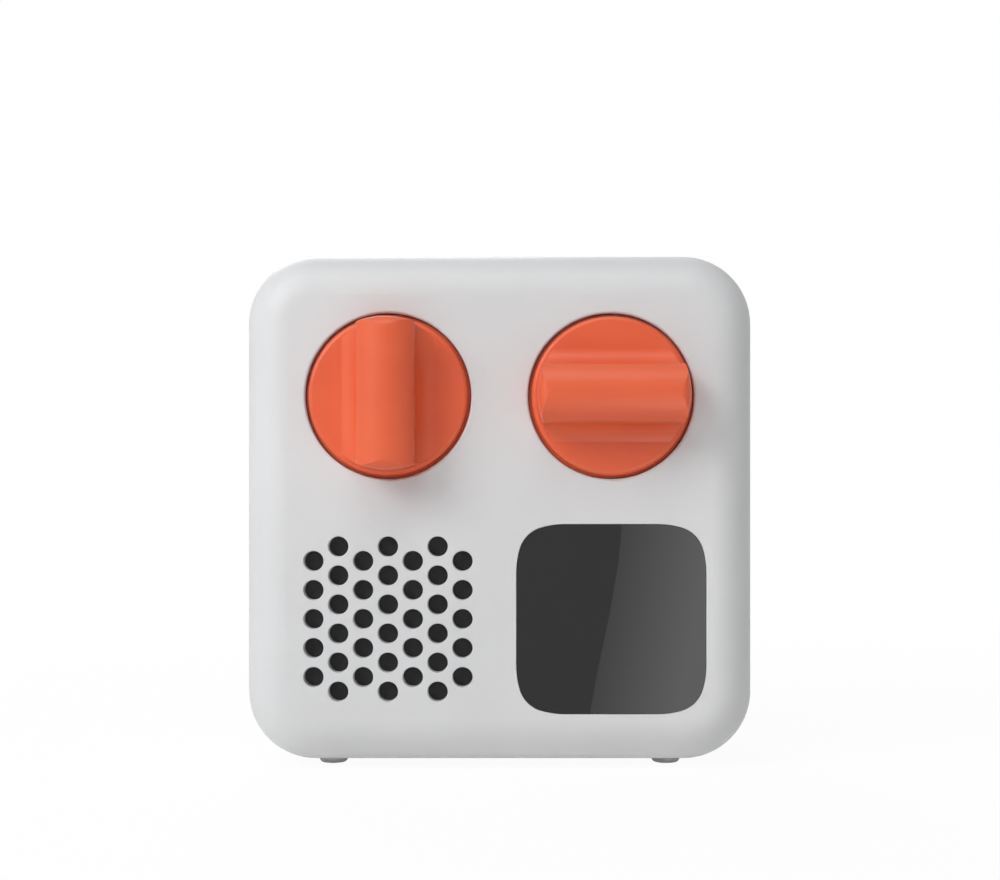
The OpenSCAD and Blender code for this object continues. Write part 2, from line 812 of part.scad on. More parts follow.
// A turned disc with its front edge rounded.
module rounded_disc(r, z_from, z_to, round_r) {
  rotate_extrude() {
    translate([0, z_from]) square([r, z_to - round_r - z_from]);
    translate([0, z_from]) square([r - round_r, z_to - z_from]);
    translate([r - round_r, z_to - round_r]) circle(round_r);
  }
}

// A knob with its bar upright, drawn round the encoder's axis. It is a thin shell
// with a hub that grips the shaft, and its bar is cored out beside the hub.
module knob_body() {
  skirt_end = -(well_depth - knob_travel - push_gap);
  hub_end = -(bushing_depth - knob_travel - push_gap);
  ceiling = knob_proud - knob_wall;
  room = knob_r - knob_wall - hub_d / 2;
  difference() {
    union() {
      rounded_disc(knob_r, skirt_end, knob_proud, rim_r);
      intersection() {
        rotate([90, 0, 0]) translate([0, 0, -knob_r]) linear_extrude(knob_d) bar_section();
        rounded_disc(knob_r - bar_inset, -knob_wall / 2, knob_rise, bar_end_r);
      }
      translate([0, 0, knob_proud - dust_lip_depth - dust_lip_t])
        cylinder(r = well_r - lip_clearance, h = dust_lip_t);
    }
    difference() {
      translate([0, 0, skirt_end - cut]) cylinder(r = knob_r - knob_wall, h = ceiling - skirt_end + cut);
      translate([0, 0, hub_end]) cylinder(d = hub_d, h = knob_rise);
    }
    translate([0, 0, hub_end - cut]) linear_extrude(knob_proud + shaft_reach + 0.2 - hub_end + cut)
      d_section(shaft_d / 2 + press_gap, shaft_flat + press_gap);
    for (s = [-1, 1]) translate([0, s * (hub_d / 2 + room / 2), ceiling - cut])
      linear_extrude(knob_rise - 1.6 * knob_wall - ceiling + cut)
        square([bar_w - 2 * knob_wall, room - 0.8], center = true);
  }
}

module knob(side, turn) color([0.91, 0.41, 0.28]) on_face(side * cell_x, cell_z) rotate(turn) knob_body();

// The shaft: a D-shaped end in the knob, a round body in the bushing, a collar
// that stops it behind the front plate, and a two-flat end that drives the rotor.
module shaft(side, turn) color("silver") on_face(side * cell_x, cell_z) rotate(turn) {
  flat_end = bushing_depth - knob_travel - push_gap + 0.2;
  slab(-knob_proud - shaft_reach, flat_end) d_section(shaft_d / 2, shaft_flat);
  slab(flat_end, collar_depth) circle(d = shaft_d);
  slab(collar_depth, collar_depth + collar_t) circle(shaft_d / 2 + 0.6);
  slab(collar_depth + collar_t, pocket_floor) double_d(drive_r, drive_flat);
}

// A rod that lies along a radius of the encoder, at a depth.
module radial_rod(from, to, r, depth) {
  translate([from, 0, -depth]) rotate([0, 90, 0]) cylinder(r = r, h = to - from);
}

// The turning contact plate, with the notches that the click spring rides over.
module rotor(side, turn) color("ivory") on_face(side * cell_x, cell_z) rotate(turn) {
  collar_end = collar_depth + collar_t + knob_travel + 0.1;
  difference() {
    slab(rotor_depth, pocket_floor - 0.05) circle(d = rotor_d);
    slab(rotor_depth - cut, collar_end) circle(shaft_d / 2 + 0.8);
    slab(rotor_depth, pocket_floor + cut) double_d(drive_r + shaft_gap, drive_flat + shaft_gap);
    for (k = [0 : detents - 1]) rotate(k * 360 / detents)
      radial_rod(shaft_d / 2 + 0.6, rotor_d / 2 + 0.3, 0.35, rotor_depth - 0.15);
  }
}

// A ring of spring sheet under the front plate; its bump is drawn riding on the notches.
module click_spring(side) color("khaki") on_face(side * cell_x, cell_z) {
  inner = shaft_d / 2 + 0.8;
  outer = rotor_d / 2 - 0.05;
  bump_r = (rotor_depth - base_depth - 0.04) / 2;
  slab(base_depth, base_depth + spring_t) difference() {
    circle(outer);
    circle(inner);
  }
  radial_rod(inner + 0.05, outer - 0.05, bump_r, base_depth + 0.01 + bump_r);
}

module encoder_frame(side) color("lightgray") on_face(side * cell_x, cell_z) {
  difference() {
    union() {
      slab(encoder_depth, base_depth) square(encoder_w, center = true);
      slab(bushing_depth, encoder_depth) circle(d = bushing_d);
      for (s = [-1, 1]) translate([s * (encoder_w / 2 + 0.15), 0])
        slab(encoder_depth, control_depth) square([0.3, 4], center = true);
    }
    slab(bushing_depth - cut, base_depth + cut) circle(shaft_d / 2 + shaft_gap);
  }
}

module encoder_base(side) color([0.2, 0.22, 0.25]) on_face(side * cell_x, cell_z) difference() {
  slab(base_depth, control_depth) square(encoder_w, center = true);
  slab(base_depth - cut, pocket_floor) circle(rotor_d / 2 + rotor_gap);
  slab(base_depth, dome_seat) circle(dome_d / 2 + 0.15);
}

// Where the five solder pins of an encoder stand.
module pin_places() {
  edge = encoder_w / 2 - 0.6;
  for (x = [-2.5, 0, 2.5]) translate([x, -edge]) children();
  for (x = [-2.5, 2.5]) translate([x, edge]) children();
}

module encoder_pins() color("gold") for (s = [-1, 1]) on_face(s * cell_x, cell_z)
  pin_places() slab(control_depth, control_depth + board_t + 0.6) square([0.8, 0.4], center = true);

// A snap dome: a shallow cap of thin sheet.
module click_dome(side) color("silver") on_face(side * cell_x, cell_z) {
  edge = dome_d / 2;
  r = (edge * edge + dome_rise * dome_rise) / (2 * dome_rise);
  translate([0, 0, -dome_seat - r + dome_rise]) intersection() {
    difference() {
      sphere(r);
      sphere(r - dome_t);
    }
    translate([0, 0, r - dome_rise]) cylinder(r = edge + 1, h = dome_rise + 1);
  }
}

module encoder_nut(side) color("gold") on_face(side * cell_x, cell_z)
  slab(well_depth - nut_t, well_depth) difference() {
    circle(d = nut_w / cos(30), $fn = 6);
    circle(bushing_d / 2 + screw_gap);
  }

// ---- boards ------------------------------------------------------------------

module control_board() color("darkgreen") on_face(0, cell_z)
  slab(control_depth, control_depth + board_t) difference() {
    rounded_rect(2 * cell_x + encoder_w + 3, encoder_w + 2, 1);
    for (s = [-1, 1]) translate([s * cell_x, 0]) pin_places() circle(d = 1);
  }

module control_header() color([0.15, 0.15, 0.15]) on_face(0, cell_z)
  slab(control_depth + board_t, main_depth) square([header_w, header_t], center = true);

// The main board, with notches round the posts, for the power button's flange and for the
// headphone socket.
module main_board() color("darkgreen") on_face() slab(main_depth, main_back) difference() {
  rounded_rect(board_w, board_h, board_r);
  corners(post_x, post_z) circle(d = post_d + 0.6);
  corners(post_x + post_d, post_z) square([2 * post_d, post_d + 0.6], center = true);
  for (s = [-1, 1]) translate([0, s * board_post_z]) circle(d = screw_d + 0.4);
  translate([body_w / 2 - wall - jack_body_l - 0.2, jack_z - jack_w / 2 - 0.2])
    square([jack_body_l + 3, jack_w + 0.4]);
  translate([body_w / 2 - wall - switch_inset + 0.2, button_z - button_flange_d / 2 - 0.3])
    square([switch_inset, button_flange_d + 0.6]);
}

// A block that stands on the front of the main board.
module on_board(x, y, w, h, t) {
  on_face(x, y) slab(main_depth - t, main_depth) square([w, h], center = true);
}

// The radio's little board, with a shield that leaves its antenna end free.
module radio_module() color("silver") {
  x = body_w / 2 - wall - jack_body_l - 0.8 - radio_w / 2;
  y = -cell_z - 4;
  board = 0.8;
  shield = [radio_w - 1.4, radio_h * 0.75];
  on_board(x, y, radio_w, radio_h, board);
  on_face(x, y - (radio_h - shield.y) / 2 + 0.7) slab(main_depth - radio_t, main_depth - board)
    rounded_rect(shield.x, shield.y, 0.5);
}

module main_processor() color([0.12, 0.12, 0.12])
  on_board(-cell_x + processor_w / 2, 2, processor_w, processor_w, processor_t);

module board_screws() color("silver") on_face() for (s = [-1, 1]) translate([0, s * board_post_z])
  screw(screw_d, screw_head_d, foam_t - 0.05, board_t + board_screw_l, main_back);

module battery_foam() color([0.3, 0.3, 0.3]) on_face() slab(main_back, battery_depth)
  square([battery_w - 2 * pad_margin, battery_l - 2 * pad_margin], center = true);

module battery() color("lightsteelblue") on_face()
  slab(battery_depth, tape_depth) rounded_rect(battery_w, battery_l, 2);

// The tape lies where the battery backs onto the card pocket.
module battery_tape() color("white") on_face() slab(tape_depth, pocket_depth) {
  top = battery_l / 2 - pad_margin;
  bottom = max(body_h / 2 - wall - pocket_h, -battery_l / 2) + 1;
  translate([-battery_w / 2 + pad_margin, bottom]) square([battery_w - 2 * pad_margin, top - bottom]);
}

// ---- card slot ---------------------------------------------------------------

// The pocket that guides a card down behind the battery, open at the slot.
module card_pocket() color("whitesmoke") on_face() {
  outer_w = card_w + 2 * pocket_side;
  top = body_h / 2 - wall;
  difference() {
    slab(pocket_depth, reader_depth) intersection() {
      wall_outline(wall + pocket_gap);
      translate([-outer_w / 2, top - pocket_h]) square([outer_w, pocket_h]);
    }
    translate([-card_w / 2, top - pocket_h + 1.2])
      slab(card_depth - card_gap / 2, card_depth + card_gap / 2) square([card_w, pocket_h]);
  }
}

module reader_board() color("darkgreen") on_face(0, (body_h - pocket_h) / 2 - wall)
  slab(reader_depth, reader_back) rounded_rect(reader_w, reader_w, 1);

// ---- ports and power button ----------------------------------------------------

module power_button() color("gainsboro") on_right(button_z, port_depth) {
  translate([0, 0, -wall - 0.1]) rounded_disc(button_d / 2, 0, wall, 0.3);
  translate([0, 0, -wall - 0.1 - button_flange_t]) cylinder(d = button_flange_d, h = button_flange_t);
}

// The switch behind the button, with a bore for its plunger.
module power_switch() color([0.15, 0.15, 0.15]) on_right(button_z, port_depth) difference() {
  translate([-usb_h / 2, -3, -wall - switch_inset - 3.6]) cube([usb_h, 6, 3.6]);
  translate([0, 0, -wall - switch_inset - 1.2]) cylinder(r = 1 + shaft_gap, h = 1.2 + cut);
}

module switch_plunger() color("ivory") on_right(button_z, port_depth)
  translate([0, 0, -wall - 0.1 - button_flange_t - 2]) cylinder(r = 1, h = 2);

module charging_port() color("silver") on_right(usb_z, port_depth)
  translate([0, 0, -port_recess - usb_l]) difference() {
    linear_extrude(usb_l) rounded_rect(usb_h, usb_w, usb_h / 2 - 0.01);
    translate([0, 0, 0.6]) linear_extrude(usb_l) rounded_rect(usb_h - 0.6, usb_w - 0.6, usb_h / 2 - 0.31);
  }

module charging_tongue() color([0.1, 0.1, 0.1]) on_right(usb_z, port_depth)
  translate([0, 0, -port_recess - usb_l + 0.6]) linear_extrude(usb_l - 1.8)
    rounded_rect(0.7, usb_w - 2.3, 0.2);

// The headphone socket sits in a notch of the main board, with two ledges on the board.
module headphone_socket() color([0.14, 0.14, 0.14]) on_right(jack_z, port_depth) difference() {
  union() {
    translate([-jack_w / 2, -jack_w / 2, -wall - jack_body_l]) cube([jack_w, jack_w, jack_body_l]);
    translate([-jack_w / 2, -jack_w / 2 - 1, -wall - jack_body_l])
      cube([jack_w / 2 + usb_h / 2, jack_w + 2, jack_body_l - 1]);
    translate([0, 0, -wall - 1]) cylinder(d = jack_nose_d, h = wall + 1 - port_recess);
  }
  translate([0, 0, -port_recess - jack_bore_l]) cylinder(d = jack_bore_d, h = jack_bore_l + cut);
}

// ---- plugs, wires and case screws ----------------------------------------------

plug_size = [5.5, 5, 3.4];
battery_plug_at = [-battery_w / 2 - 4.25 - plug_size.x / 2, 12];
speaker_plug_at = [-body_w / 2 + wall + 3.25 + plug_size.x / 2, -3];

module plug(at, from) on_face(at.x, at.y)
  slab(from, from + plug_size.z) square([plug_size.x, plug_size.y], center = true);

module battery_plug() color("ivory") plug(battery_plug_at, main_back);

module speaker_plug() color("ivory") plug(speaker_plug_at, main_depth - plug_size.z);

function unit(v) = v / norm(v);

// Points along a smooth curve through the chosen ones.
function smooth(p, steps) = [for (i = [0 : len(p) - 2], s = [0 : steps - 1]) let (
    t = s / steps, a = p[max(i - 1, 0)], b = p[i], c = p[i + 1], d = p[min(i + 2, len(p) - 1)])
  b + t / 2 * (c - a + t * (2 * a - 5 * b + 4 * c - d + t * (3 * b - a - 3 * c + d))), p[len(p) - 1]];

// A round wire with eight sides, swept along its points.
module wire(points, r) {
  sides = 8;
  n = len(points);
  ahead = [for (i = [0 : n - 1]) unit(points[min(i + 1, n - 1)] - points[max(i - 1, 0)])];
  rings = [for (i = [0 : n - 1]) let (
      u = unit(cross(ahead[i], [1, 0.1, 0.2])), v = cross(ahead[i], u))
    for (k = [0 : sides - 1]) points[i] + r * (cos(k * 360 / sides) * u + sin(k * 360 / sides) * v)];
  caps = [[for (k = [0 : sides - 1]) k], [for (k = [sides - 1 : -1 : 0]) (n - 1) * sides + k]];
  skin = [for (i = [0 : n - 2], k = [0 : sides - 1]) let (a = i * sides, b = (k + 1) % sides)
    each [[a + k, a + sides + b, a + b], [a + k, a + sides + k, a + sides + b]]];
  polyhedron(points = rings, faces = concat(caps, skin));
}

// Two wires from the top of the battery down into its plug.
module battery_wires() color("firebrick") on_face() for (s = [0, 1]) {
  start = [-12 - 1.6 * s, battery_l / 2 + 0.05, -battery_depth - battery_t / 2];
  end = [battery_plug_at.x - 0.7 + 1.4 * s, battery_plug_at.y + plug_size.y / 2 + 0.05,
    -main_back - plug_size.z / 2];
  top = start.y + 3.6 - 1.4 * s;
  wire(smooth([start, start + [0, 0.9, 0], [start.x - 2, top - 0.6, start.z], [-18, top, start.z + 0.3],
    [end.x + 2, top - 2.2, end.z - 0.6], [end.x, top - 6, end.z], end + [0, 1.5, 0], end], 2), 0.45);
}

// Two wires from the speaker's flange back into the speaker's plug.
module speaker_wires() color("firebrick") on_face() for (s = [0, 1]) {
  start = [-cell_x - basket_mouth_d / 2 - 0.45, -cell_z - 1.1 + 2.2 * s, -flange_depth - flange_t - 0.05];
  end = [speaker_plug_at.x - 0.7 + 1.4 * s, speaker_plug_at.y - plug_size.y / 2 - 0.05,
    plug_size.z / 2 - main_depth];
  wire(smooth([start, start + [0, 0, -1.2], [start.x - 0.4 + 1.2 * s, start.y + 1.2, (start.z + end.z) / 2],
    [end.x, end.y - 3, end.z + 0.6], end + [0, -1.2, 0], end], 2), 0.45);
}

module case_screws() color("silver") on_face() corners(post_x, post_z)
  screw(screw_d, screw_head_d, 1.4, case_screw_l, screw_seat_depth);

front_shell();
rear_shell();
display_lens();
display_frame();
pixel_display();
display_header();
grille_cloth();
speaker_ring();
speaker_basket();
speaker_pot();
speaker_magnet();
speaker_pole_plate();
speaker_surround();
speaker_cone();
dust_cap();
voice_coil();
speaker_screws();
knob(-1, 0);  // left_knob
knob(1, 90);  // right_knob
shaft(-1, 0);  // left_shaft
shaft(1, 90);  // right_shaft
rotor(-1, 0);  // left_rotor
rotor(1, 90);  // right_rotor
encoder_frame(-1);  // left_encoder_frame
encoder_frame(1);  // right_encoder_frame
encoder_base(-1);  // left_encoder_base
encoder_base(1);  // right_encoder_base
encoder_nut(-1);  // left_encoder_nut
encoder_nut(1);  // right_encoder_nut
click_dome(-1);  // left_click_dome
click_dome(1);  // right_click_dome
click_spring(-1);  // left_click_spring
click_spring(1);  // right_click_spring
encoder_pins();
control_board();
control_header();
main_board();
radio_module();
main_processor();
board_screws();
battery_foam();
battery();
battery_tape();
battery_plug();
battery_wires();
speaker_plug();
speaker_wires();
card_pocket();
reader_board();
power_button();
power_switch();
switch_plunger();
charging_port();
charging_tongue();
headphone_socket();
case_screws();
foot(-foot_x, front_y + foot_inset);  // front_left_foot
foot(foot_x, front_y + foot_inset);  // front_right_foot
foot(-foot_x, front_y + body_d - foot_inset);  // rear_left_foot
foot(foot_x, front_y + body_d - foot_inset);  // rear_right_foot
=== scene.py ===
import json
import math
import bmesh
import bpy
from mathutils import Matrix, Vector


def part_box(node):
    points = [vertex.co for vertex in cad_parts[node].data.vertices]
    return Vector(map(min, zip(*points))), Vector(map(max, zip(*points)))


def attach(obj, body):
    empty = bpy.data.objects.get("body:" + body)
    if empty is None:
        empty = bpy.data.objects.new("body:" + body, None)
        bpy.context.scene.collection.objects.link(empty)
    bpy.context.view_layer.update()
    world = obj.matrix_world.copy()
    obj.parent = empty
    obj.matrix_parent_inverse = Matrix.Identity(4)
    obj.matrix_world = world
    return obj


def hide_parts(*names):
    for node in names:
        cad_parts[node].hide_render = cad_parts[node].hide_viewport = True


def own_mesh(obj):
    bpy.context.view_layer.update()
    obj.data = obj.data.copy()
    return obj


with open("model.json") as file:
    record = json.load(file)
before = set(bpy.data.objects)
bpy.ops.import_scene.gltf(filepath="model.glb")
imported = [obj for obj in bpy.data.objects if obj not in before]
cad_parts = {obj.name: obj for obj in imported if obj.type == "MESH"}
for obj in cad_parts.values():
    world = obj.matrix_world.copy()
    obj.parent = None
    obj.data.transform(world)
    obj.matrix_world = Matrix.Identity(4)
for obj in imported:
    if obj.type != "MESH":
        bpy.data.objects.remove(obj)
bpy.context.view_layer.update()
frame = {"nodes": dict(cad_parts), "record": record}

nodes = frame["nodes"]
scene = bpy.context.scene
print("frame loaded:", len(nodes), "parts")


# camera: square on to the front, level with the middle of the box, from a hand's reach
cameraSet = {
    "lens": 56.85,           # mm on a 36 mm sensor
    "distance": 0.2150,      # from the front face
    "height": 0.0360,
    "shiftX": 0.00035,
    "shiftY": 0.0675,        # the box stands a little below the middle of the picture
    "nearest": 0.01,
    "farthest": 20.0,
}
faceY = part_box("front_shell")[0].y


def placeCamera():
    data = bpy.data.cameras.new("playerCamera")
    data.lens = cameraSet["lens"]
    data.shift_x = cameraSet["shiftX"]
    data.shift_y = cameraSet["shiftY"]
    data.clip_start = cameraSet["nearest"]
    data.clip_end = cameraSet["farthest"]
    camera = bpy.data.objects.new("playerCamera", data)
    camera.location = (0.0, faceY - cameraSet["distance"], cameraSet["height"])
    camera.rotation_euler = (math.radians(90.0), 0.0, 0.0)
    scene.collection.objects.link(camera)
    scene.camera = camera


placeCamera()
scene.view_settings.view_transform = "Standard"
print("camera placed")


def linear(hexColour):
    parts = [int(hexColour[i:i + 2], 16) / 255.0 for i in (1, 3, 5)]
    parts = [p / 12.92 if p <= 0.04045 else ((p + 0.055) / 1.055) ** 2.4 for p in parts]
    return (parts[0], parts[1], parts[2], 1.0)


# adds a node; settings go to its sockets where it has one of that name, else to its options
def addNode(material, kind, settings=None, links=None):
    node = material.node_tree.nodes.new(kind)
    for key, value in (settings or {}).items():
        if key == "stops":
            for element, (position, hexColour) in zip(node.color_ramp.elements, value):
                element.position = position
                element.color = linear(hexColour)
        elif isinstance(key, int) or key in node.inputs:
            node.inputs[key].default_value = value
        else:
            setattr(node, key, value)
    for key, source in (links or {}).items():
        material.node_tree.links.new(source, node.inputs[key])
    return node


def emptyNodes(owner):
    owner.use_nodes = True
    owner.node_tree.nodes.clear()


def startMaterial(name):
    material = bpy.data.materials.new(name)
    emptyNodes(material)
    return material, addNode(material, "ShaderNodeTexCoord").outputs["Object"]


def closeMaterial(material, settings, links):
    shader = addNode(material, "ShaderNodeBsdfPrincipled", settings, links)
    addNode(material, "ShaderNodeOutputMaterial", links={"Surface": shader.outputs[0]})
    return material


def dress(material, slotName):
    for part in frame["record"]["subparts"]:
        if part["material_slot"] == slotName:
            mesh = nodes[part["node"]].data
            mesh.materials.clear()
            mesh.materials.append(material)


noiseLow = 0.3               # nearly all of a noise texture's values lie between these two
noiseHigh = 0.7
waveLength = 0.314           # metres from one band of a wave texture to the next, at scale 1
plainWhite = (1.0, 1.0, 1.0, 1.0)


# a moulded surface: a broad noise for the colour, a fine one at the size of the tool's grain
def moulded(name, look, settings):
    material, place = startMaterial(name)
    spread = look.get("spread", 0.04)        # how far the roughness strays with the grain
    broad = addNode(material, "ShaderNodeTexNoise",
                    {"Scale": 1.0 / look["patch"], "Detail": 3.0}, {"Vector": place})
    tint = addNode(material, "ShaderNodeValToRGB",
                   {"stops": ((noiseLow, look["low"]), (noiseHigh, look["high"]))},
                   {"Fac": broad.outputs["Fac"]})
    grain = addNode(material, "ShaderNodeTexNoise",
                    {"Scale": 1.0 / look["grain"], "Detail": 2.0, "Roughness": 0.6}, {"Vector": place})
    bump = addNode(material, "ShaderNodeBump",
                   {"Strength": 0.5, "Distance": look["depth"]}, {"Height": grain.outputs["Fac"]})
    shine = addNode(material, "ShaderNodeMapRange",
                    {"From Min": noiseLow, "From Max": noiseHigh,
                     "To Min": look["rough"] - spread, "To Max": look["rough"] + spread},
                    {"Value": grain.outputs["Fac"]})
    return closeMaterial(material, settings, {"Base Color": tint.outputs["Color"],
                                              "Normal": bump.outputs["Normal"],
                                              "Roughness": shine.outputs["Result"]})


# light grey ABS from a spark-eroded tool: even, matt, the grain only just seen close by
housingLook = {"low": "#D2D3D4", "high": "#D7D8D9", "patch": 0.016, "grain": 0.00022, "depth": 0.000008,
               "rough": 0.52}
dress(moulded("sparkErodedAbs", housingLook, {"IOR": 1.53}), "housing")

# orange-red ABS from a finer satin tool: a broad soft sheen along the bar
knobLook = {"low": "#DD5B35", "high": "#E4633A", "patch": 0.012, "grain": 0.00016, "depth": 0.000004,
            "rough": 0.40}
dress(moulded("satinOrangeAbs", knobLook, {"IOR": 1.46}), "knob")

# black glass-filled nylon: slightly mottled, half matt
nylonLook = {"low": "#141415", "high": "#1D1D1E", "patch": 0.004, "grain": 0.00025, "depth": 0.00001,
             "rough": 0.45}
dress(moulded("glassFilledNylon", nylonLook, {"IOR": 1.53}), "black_plastic")

# unpigmented nylon: warm white, a little light goes into it
naturalLook = {"low": "#D8D2C0", "high": "#E2DDCD", "patch": 0.006, "grain": 0.0003, "depth": 0.000006,
               "rough": 0.42}
dress(moulded("naturalNylon", naturalLook,
              {"IOR": 1.53, "Subsurface Weight": 0.1, "Subsurface Scale": 0.001}), "cream_plastic")

# pale silicone feet: dull, with a fine bloom
footLook = {"low": "#EAE9E7", "high": "#F0EFED", "patch": 0.003, "grain": 0.0003, "depth": 0.00001,
            "rough": 0.62}
dress(moulded("paleSilicone", footLook, {"IOR": 1.41}), "foot")

# red silicone insulation, drawn through a die: smooth, rather shiny
wireLook = {"low": "#8E1512", "high": "#A31C17", "patch": 0.003, "grain": 0.0004, "depth": 0.000006,
            "rough": 0.38}
dress(moulded("redSiliconeLead", wireLook, {"IOR": 1.41}), "wire")

# butyl rubber of the speaker's roll: matt black with a trace of talc
rollLook = {"low": "#151515", "high": "#232323", "patch": 0.002, "grain": 0.0002, "depth": 0.00001,
            "rough": 0.7}
dress(moulded("butylRubber", rollLook, {"IOR": 1.5}), "black_rubber")

# smoked acrylic, cast and polished: near black, the reflections sharp, the faintest haze in places
lensLook = {"low": "#060607", "high": "#09090A", "patch": 0.009, "grain": 0.004, "depth": 0.0000001,
            "rough": 0.020, "spread": 0.008}
dress(moulded("smokedAcrylic", lensLook, {"IOR": 1.46}), "lens")
print("plastics and rubbers done")


# metals: a stretched noise for the marks of rolling, turning or plating
metalMarks = {"depth": 0.000005, "spread": 0.08}


def worked(name, look):
    material, place = startMaterial(name)
    stretched = addNode(material, "ShaderNodeMapping", {"Scale": look["stretch"]}, {"Vector": place})
    marks = addNode(material, "ShaderNodeTexNoise",
                    {"Scale": 1.0 / look["mark"], "Detail": 3.0}, {"Vector": stretched.outputs["Vector"]})
    tint = addNode(material, "ShaderNodeValToRGB",
                   {"stops": ((noiseLow, look["low"]), (noiseHigh, look["high"]))},
                   {"Fac": marks.outputs["Fac"]})
    bump = addNode(material, "ShaderNodeBump",
                   {"Strength": 0.3, "Distance": metalMarks["depth"]}, {"Height": marks.outputs["Fac"]})
    shine = addNode(material, "ShaderNodeMapRange",
                    {"From Min": noiseLow, "From Max": noiseHigh,
                     "To Min": look["rough"] - metalMarks["spread"],
                     "To Max": look["rough"] + metalMarks["spread"]},
                    {"Value": marks.outputs["Fac"]})
    return closeMaterial(material, {"Metallic": 1.0}, {"Base Color": tint.outputs["Color"],
                                                       "Normal": bump.outputs["Normal"],
                                                       "Roughness": shine.outputs["Result"]})


# bright nickel over steel: neutral, fine drawn marks
steelLook = {"low": "#AFAEAA", "high": "#C6C5C1", "mark": 0.0004, "stretch": (1.0, 6.0, 1.0), "rough": 0.30}
dress(worked("nickelPlatedSteel", steelLook), "steel")

# rolled spring steel: a warmer grey, its rolling marks close together across the part
springLook = {"low": "#B6B2A6", "high": "#C9C6BC", "mark": 0.0003, "stretch": (8.0, 1.0, 1.0), "rough": 0.26}
dress(worked("rolledSpringSteel", springLook), "spring_steel")

# die-cast zinc: a bluish grey, dull from the die's release
zincLook = {"low": "#9C9DA0", "high": "#B2B3B6", "mark": 0.0006, "stretch": (1.0, 1.0, 1.0), "rough": 0.42}
dress(worked("dieCastZinc", zincLook), "die_cast")

# plated magnet: almost a mirror
magnetLook = {"low": "#B9B8B3", "high": "#D0CFCA", "mark": 0.0008, "stretch": (1.0, 1.0, 1.0), "rough": 0.16}
dress(worked("barrelPlatedNickel", magnetLook), "magnet")

# turned brass: rings from the tool round its axis
brassLook = {"low": "#C79A45", "high": "#DDB45E", "mark": 0.0003, "stretch": (1.0, 7.0, 1.0), "rough": 0.27}
dress(worked("turnedBrass", brassLook), "brass")
print("metals done")


# enamelled copper wire wound round the speaker's axis: one ridge a turn under clear enamel, with painted
# shade darker in the grooves between turns
def wound(name, look):
    material, place = startMaterial(name)
    turns = addNode(material, "ShaderNodeTexWave",
                    {"wave_type": "BANDS", "bands_direction": "Y", "Scale": waveLength / look["wire"]},
                    {"Vector": place})
    # painted shade: the colour follows the bump, dark brown in the grooves between turns, bright copper on
    # the ridges
    tint = addNode(material, "ShaderNodeValToRGB",
                   {"stops": ((0.1, look["low"]), (0.9, look["high"]))}, {"Fac": turns.outputs["Fac"]})
    bump = addNode(material, "ShaderNodeBump",
                   {"Strength": 0.8, "Distance": look["depth"]}, {"Height": turns.outputs["Fac"]})
    return closeMaterial(material,
                         {"Metallic": 1.0, "Roughness": 0.3, "Coat Weight": 0.6, "Coat Roughness": 0.15},
                         {"Base Color": tint.outputs["Color"], "Normal": bump.outputs["Normal"]})


copperLook = {
    # low is painted shade in the grooves between turns, high the copper on the ridges
    "low": "#7A3A1C",
    "high": "#B4622F",
    "wire": 0.00018,         # drawn coarser than the real 0.08 mm
    "depth": 0.00004,
}
dress(wound("enamelledCopper", copperLook), "copper")


# foams, pressed pulp and tape: open or fibrous surfaces with no shine, with painted shade darker in their
# pits
def fibrous(name, look, settings):
    material, place = startMaterial(name)
    cells = addNode(material, "ShaderNodeTexVoronoi", {"Scale": 1.0 / look["cell"]}, {"Vector": place})
    fibre = addNode(material, "ShaderNodeTexNoise",
                    {"Scale": 2.0 / look["cell"], "Detail": 4.0}, {"Vector": place})
    both = addNode(material, "ShaderNodeMath", {"operation": "MULTIPLY"},
                   {0: cells.outputs["Distance"], 1: fibre.outputs["Fac"]})
    # painted shade: the colour follows the bump, darker in the pits of the cells and lighter on their rims
    tint = addNode(material, "ShaderNodeValToRGB",
                   {"stops": ((0.1, look["low"]), (0.5, look["high"]))}, {"Fac": both.outputs[0]})
    bump = addNode(material, "ShaderNodeBump",
                   {"Strength": 0.7, "Distance": look["depth"]}, {"Height": both.outputs[0]})
    return closeMaterial(material, settings,
                         {"Base Color": tint.outputs["Color"], "Normal": bump.outputs["Normal"]})


# closed-cell polyurethane: black, dull, small cells
foamLook = {"low": "#0F0F0F", "high": "#232323", "cell": 0.0004, "depth": 0.00005}
dress(fibrous("closedCellFoam", foamLook, {"Roughness": 0.95, "Specular IOR Level": 0.2}), "black_foam")

# black paper pulp pressed on a mesh: felted, with a little nap
pulpLook = {"low": "#161616", "high": "#2A2A29", "cell": 0.0005, "depth": 0.00002}
dress(fibrous("pressedPulp", pulpLook, {"Roughness": 0.8}), "paper")

# white foam tape: chalky, slightly open
tapeLook = {"low": "#C9C7BE", "high": "#DAD8D0", "cell": 0.0006, "depth": 0.00002}
dress(fibrous("foamTape", tapeLook, {"Roughness": 0.85}), "tape")


